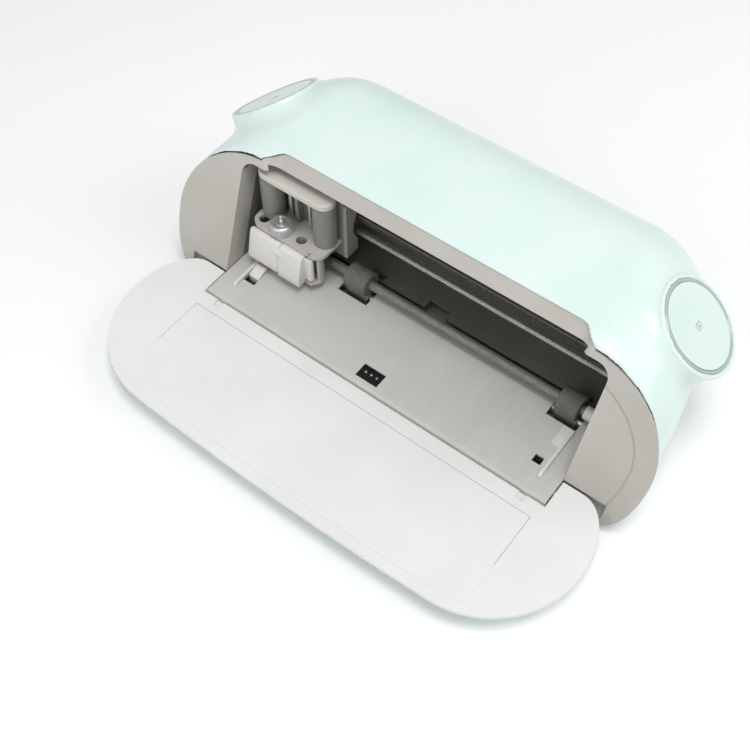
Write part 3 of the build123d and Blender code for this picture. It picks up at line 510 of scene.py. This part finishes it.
def data_socket_tongue():
    mouth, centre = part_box("usb_port")[1].y, middle("usb_port")
    size, place = (5.6 * MM, 8 * MM, 3.2 * MM), (centre.x, mouth - 5.5 * MM, centre.z - 0.6 * MM)
    mesh = bmesh.new()
    bmesh.ops.create_cube(mesh, size=1.0)
    bmesh.ops.scale(mesh, vec=size, verts=mesh.verts)
    bmesh.ops.translate(mesh, vec=place, verts=mesh.verts)
    bmesh.ops.bevel(mesh, geom=mesh.edges[:], offset=0.35 * MM, segments=2, affect="EDGES")
    piece("data_socket_tongue", mesh, MATERIALS["black_plastic"], "housing")


# ---- clamp lever ----
def rounded_prism(mesh, outline, x0, x1, radius):
    """Prism along X over a (Y, Z) outline, with all its edges rounded."""
    ends = [[mesh.verts.new((x, y, z)) for y, z in outline] for x in (x0, x1)]
    faces = [mesh.faces.new(ends[0]), mesh.faces.new(reversed(ends[1]))]
    count = len(outline)
    for i in range(count):
        k = (i + 1) % count
        faces.append(mesh.faces.new((ends[0][i], ends[0][k], ends[1][k], ends[1][i])))
    edges = list({edge for face in faces for edge in face.edges})
    bmesh.ops.recalc_face_normals(mesh, faces=faces)
    bmesh.ops.bevel(mesh, geom=edges, offset=radius, segments=4, profile=0.5, affect="EDGES",
                    clamp_overlap=True)


LEVER_SPLIT = 35.6 * MM        # from the lever's left end to the seam in its front
LEVER_HINGE = 6.6 * MM         # width of the knuckle at its right end
SEAM_HALF = 0.35 * MM


def lever_front():
    """Left block and right tab of the lever, joined behind the seam between them."""
    low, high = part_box("clamp_lever")
    split, knuckle = low.x + LEVER_SPLIT, high.x - LEVER_HINGE
    back, lean = high.y - 3.4 * MM, 6.6 * MM
    face, front = low.y + 0.8 * MM, low.y
    left = [
        (face + 0.3 * MM, low.z + 1.2 * MM),
        (face, low.z + 6 * MM),
        (face + lean, high.z),
        (back, high.z),
        (back, low.z + 1.2 * MM),
    ]
    right = [
        (front + 0.5 * MM, low.z),
        (front, low.z + 7 * MM),
        (front + lean * 0.9, high.z - 1.6 * MM),
        (front + lean * 1.2, high.z),
        (back, high.z),
        (back, low.z),
    ]
    inner = [
        (face + 3 * MM, low.z + 3 * MM),
        (face + 3 * MM, high.z - 8 * MM),
        (back - 0.5 * MM, high.z - 1 * MM),
        (back - 0.5 * MM, low.z + 3 * MM),
    ]
    mesh = bmesh.new()
    rounded_prism(mesh, left, low.x, split - SEAM_HALF, 1.9 * MM)
    rounded_prism(mesh, right, split + SEAM_HALF, knuckle - 1.2 * MM, 1.6 * MM)
    rounded_prism(mesh, inner, split - 4 * MM, split + 4 * MM, 0.3 * MM)
    made = piece("lever_halves", mesh, MATERIALS["lever_grey"], "lever")
    shade_smooth(made, 30)


def lever_knuckle():
    """Hinge barrel of the lever and the web that holds it."""
    low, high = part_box("clamp_lever")
    knuckle, back = high.x - LEVER_HINGE, high.y - 3.4 * MM
    pin_low, pin_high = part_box("pivot_pin")
    pin, reach, rounding = middle("pivot_pin"), 3.2 * MM, 0.4 * MM
    bore = (pin_high.x - pin_low.x) / 2 + 0.1 * MM
    bottom, top = low.z + 4.5 * MM, high.z - 2 * MM
    barrel = [
        (bore, bottom),
        (reach - rounding, bottom),
        (reach, bottom + rounding),
        (reach, top - rounding),
        (reach - rounding, top),
        (bore, top),
    ]
    near, far = back - 2.6 * MM, back - 0.2 * MM
    web = [(near, bottom), (near, top), (far, top), (far, bottom)]
    mesh = bmesh.new()
    rings(mesh, [circle(pin, r, z, 32) for r, z in barrel], close_ends=False)
    rounded_prism(mesh, web, knuckle - 2 * MM, pin.x - bore - 0.3 * MM, 0.4 * MM)
    made = piece("lever_knuckle", mesh, MATERIALS["lever_grey"], "lever")
    shade_smooth(made, 30)
    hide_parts("clamp_lever")


# ---- mint cover ----
COVER_FACET = 1.25 * MM
FRONT_LEAN = radians(20)       # how far the front of the housing leans back
EDGE_SEARCH = 12 * MM          # further than this from the bezel, it has no hold on the cover


def smooth_step(value, start, end):
    share = min(1.0, max(0.0, (value - start) / (end - start)))
    return share * share * (3 - 2 * share)


def vertex_rows(mesh, field="co"):
    """Positions or normals of a mesh's vertices, one row each."""
    rows = numpy.empty(len(mesh.vertices) * 3)
    mesh.vertices.foreach_get(field, rows)
    return rows.reshape(-1, 3)


def evaluated(made):
    """Mesh of an object with its modifiers applied."""
    graph = bpy.context.evaluated_depsgraph_get()
    return bpy.data.meshes.new_from_object(made.evaluated_get(graph))


def evenly_meshed(node, name, size, lean):
    """Object with the node's shape in facets of one size, in rows along the leaning front."""
    upright = Matrix.Rotation(lean, 4, "X")
    source = bpy.data.objects.new(name + "_source", frame["nodes"][node].data.copy())
    source.data.transform(upright)
    bpy.context.scene.collection.objects.link(source)
    remesh = source.modifiers.new("remesh", "REMESH")
    remesh.mode, remesh.voxel_size = "VOXEL", size
    made = bpy.data.objects.new(name, evaluated(source))
    made.data.transform(upright.inverted())
    bpy.data.objects.remove(source)
    bpy.context.scene.collection.objects.link(made)
    return made


def button_rims():
    """Centre, outward normal and radius of the ring round each shoulder button."""
    rims = []
    for node, press in (("left_button", "power_button_press"), ("right_button", "load_button_press")):
        centre, outward = button_frame(node, press)[:2]
        low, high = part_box(node + "_ring")
        rims.append((centre, outward, (high.y - low.y) / 2 / sqrt(1 - outward.y ** 2)))
    return rims


def neck_share(point, rims):
    """How far a point of the shell lies in the neck under a button, 0 to 1."""
    share = 0.0
    for centre, outward, rim in rims:
        offset = point - centre
        depth = -offset.dot(outward)
        reach = (offset + outward * depth).length
        if depth > 0 and reach < rim + 66 * MM:
            below_ring = smooth_step(depth, 2.0 * MM, 6.0 * MM)
            outside_ring = smooth_step(reach, rim + 0.8 * MM, rim + 2.2 * MM)
            fade = 1 - smooth_step(reach, rim + 34 * MM, rim + 64 * MM)
            share = max(share, below_ring * outside_ring * fade)
    return share


def smoothing(made, group, factor, iterations):
    modifier = made.modifiers.new(group, "SMOOTH")
    modifier.factor, modifier.iterations, modifier.vertex_group = factor, iterations, group
    return modifier


def weigh_cover(made):
    """Groups: necks are free to flow up to the buttons, free is all that the bezel's edge doesn't hold."""
    bezel = frame["nodes"]["front_bezel"].data
    faces = [list(face.vertices) for face in bezel.polygons]
    edge = BVHTree.FromPolygons([vertex.co for vertex in bezel.vertices], faces)
    rims = button_rims()
    necks, free = made.vertex_groups.new(name="necks"), made.vertex_groups.new(name="free")
    for vertex in made.data.vertices:
        gap = edge.find_nearest(vertex.co, EDGE_SEARCH)[3]
        gap = EDGE_SEARCH if gap is None else gap
        free.add([vertex.index], smooth_step(gap, 1.2 * MM, 3 * MM), "REPLACE")
        share = neck_share(vertex.co, rims) * smooth_step(gap, 1.5 * MM, 11 * MM)
        if share > 0.01:
            necks.add([vertex.index], share, "REPLACE")


def flared_cover():
    """The mint shell with the shoulders flowing up into the button bosses."""
    made = evenly_meshed("top_shell", "mint_cover", COVER_FACET, FRONT_LEAN)
    weigh_cover(made)
    start, normals = vertex_rows(made.data), vertex_rows(made.data, "normal")
    # smoothed in rounds, and raised back wherever that sank it below the shell
    for _ in range(3):
        flow = smoothing(made, "necks", 0.8, 200)
        rows = vertex_rows(evaluated(made))
        made.modifiers.remove(flow)
        sunk = numpy.minimum(((rows - start) * normals).sum(axis=1), 0.0)
        made.data.vertices.foreach_set("co", (rows - sunk[:, None] * normals).ravel())
        made.data.update()
    smoothing(made, "free", 0.5, 4)
    smoothing(made, "necks", 0.5, 30)
    thin = made.modifiers.new("thin", "DECIMATE")
    thin.ratio = 0.3
    made.data = evaluated(made)
    low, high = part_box("top_shell")
    made.data.vertices.foreach_set("co", numpy.clip(vertex_rows(made.data), low, high).ravel())
    made.data.update()
    made.modifiers.clear()
    made.vertex_groups.clear()
    made.data.materials.clear()
    made.data.materials.append(MATERIALS["mint_shell"])
    shade_smooth(made, 50)
    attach(made, "housing")
    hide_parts("top_shell")


# ---- lenses of the mat sensor ----
def sensor_lenses():
    low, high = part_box("sensor_window")
    mesh = bmesh.new()
    dome = ((1.3, -0.1), (1.15, 0.25), (0.7, 0.5), (0.2, 0.6))    # radius and height in mm
    for share in (0.25, 0.513, 0.776):
        centre = Vector((low.x + share * (high.x - low.x), low.y + 0.54 * (high.y - low.y), 0))
        rings(mesh, [circle(centre, r * MM, high.z + z * MM, 20) for r, z in dome])
    # lens domes coloured light grey: painted glints on the black sensor
    glinting_lens = moulded("lens_painted_glint", srgb(150, 150, 152), srgb(120, 120, 124),
                    srgb(200, 200, 200), 0.15, coat=0.5)
    shade_smooth(piece("sensor_lenses", mesh, glinting_lens, "housing"))


flared_cover()
sensor_lenses()
lever_front()
lever_knuckle()
knurled_knob()
toothed_belt()
button_sign("left_button", "power_button_press", "power_button", power_sign())
button_sign("right_button", "load_button_press", "load_button", sheet_sign())
jack_pin()
data_socket_tongue()


# ---- floor, light and camera ----
FLOOR_HALF = 6.0
WORLD_LIGHT = 0.45


def floor():
    mesh = bmesh.new()
    bmesh.ops.create_grid(mesh, x_segments=1, y_segments=1, size=FLOOR_HALF)
    data = bpy.data.meshes.new("floor")
    mesh.to_mesh(data)
    mesh.free()
    ground = bpy.data.objects.new("floor", data)
    ground.location.z = CAD_BOUNDS[0][2] - 0.05 * MM
    bpy.context.scene.collection.objects.link(ground)
    surface = Surface("pale_floor", 0.7)
    surface.colour(surface.blend(surface.noise(0.4, 3), srgb(246, 246, 246), srgb(250, 250, 250)))
    data.materials.append(surface.material)


def lamp(name, place, target, power, size):
    light = bpy.data.lights.new(name, "AREA")
    light.energy, light.size = power, size
    made = bpy.data.objects.new(name, light)
    made.location = place
    made.rotation_euler = (Vector(target) - Vector(place)).to_track_quat("-Z", "Y").to_euler()
    bpy.context.scene.collection.objects.link(made)


def studio():
    target = (0, 0, 0.05)
    lamp("key", (0.35, -0.25, 2.2), target, 22, 0.9)
    lamp("fill", (-0.2, -1.6, 1.0), target, 9, 1.4)
    lamp("rim", (1.5, 0.9, 1.4), target, 13, 1.4)
    world = bpy.data.worlds.new("studio")
    world.use_nodes = True
    world.node_tree.nodes["Background"].inputs["Color"].default_value = (1, 1, 1, 1)
    world.node_tree.nodes["Background"].inputs["Strength"].default_value = WORLD_LIGHT
    bpy.context.scene.world = world
    bpy.context.scene.view_settings.view_transform = "Standard"


def camera():
    lens = bpy.data.cameras.new("camera")
    lens.lens, lens.sensor_width = 53.64, 36.0
    made = bpy.data.objects.new("camera", lens)
    made.location = (0.3334, -0.47245, 0.8332)
    made.rotation_euler = Vector((-0.3432, 0.4517, -0.8235)).to_track_quat("-Z", "Y").to_euler()
    bpy.context.scene.collection.objects.link(made)
    bpy.context.scene.camera = made


floor()
studio()
camera()
